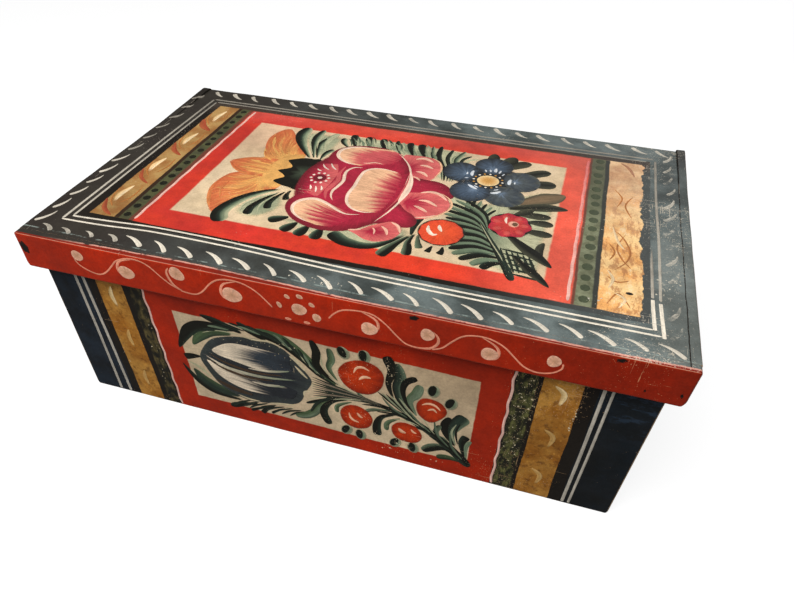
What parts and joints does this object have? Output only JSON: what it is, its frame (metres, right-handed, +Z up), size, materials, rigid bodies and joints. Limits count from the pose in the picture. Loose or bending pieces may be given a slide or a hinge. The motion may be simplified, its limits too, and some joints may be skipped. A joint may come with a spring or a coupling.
{
  "type": "painted wooden box",
  "caption": "Rectangular nailed wooden box with a pin-hinged lid that has a front rail and end battens, painted with folk flowers, stripes and scrolls.",
  "frame": {"origin": "on the surface it stands on, under the middle of the closed box", "axes": "+X along the front to the right, +Y from the front to the back, +Z up"},
  "size_m": [0.34, 0.213, 0.1185],
  "materials": {
    "bare_wood": "bare aged softwood",
    "front_paint": "worn semi-gloss oil paint",
    "wall_paint": "worn semi-gloss oil paint",
    "lid_paint": "worn semi-gloss oil paint",
    "rail_paint": "worn semi-gloss oil paint",
    "batten_paint": "worn semi-gloss oil paint",
    "iron": "dark oxidised iron"
  },
  "bodies": {
    "box": {"bottom_board": "bare_wood", "front_board": "front_paint", "back_board": "wall_paint", "left_end_board": "wall_paint", "right_end_board": "wall_paint", "front_corner_nails": "iron", "back_corner_nails": "iron", "front_bottom_nails": "iron", "back_bottom_nails": "iron", "left_bottom_nails": "iron", "right_bottom_nails": "iron", "left_hinge_pin": "iron", "right_hinge_pin": "iron"},
    "lid": {"lid_board": "lid_paint", "lid_front_rail": "rail_paint", "lid_left_batten": "batten_paint", "lid_right_batten": "batten_paint", "rail_nails": "iron", "left_batten_nails": "iron", "right_batten_nails": "iron"}
  },
  "joints": [
    {"name": "lid_hinge", "type": "hinge", "parent": "box", "child": "lid", "pos_m": [0, 0.1, 0.1065], "axis": [-1, 0, 0], "range_deg": [0, 100]}
  ]
}
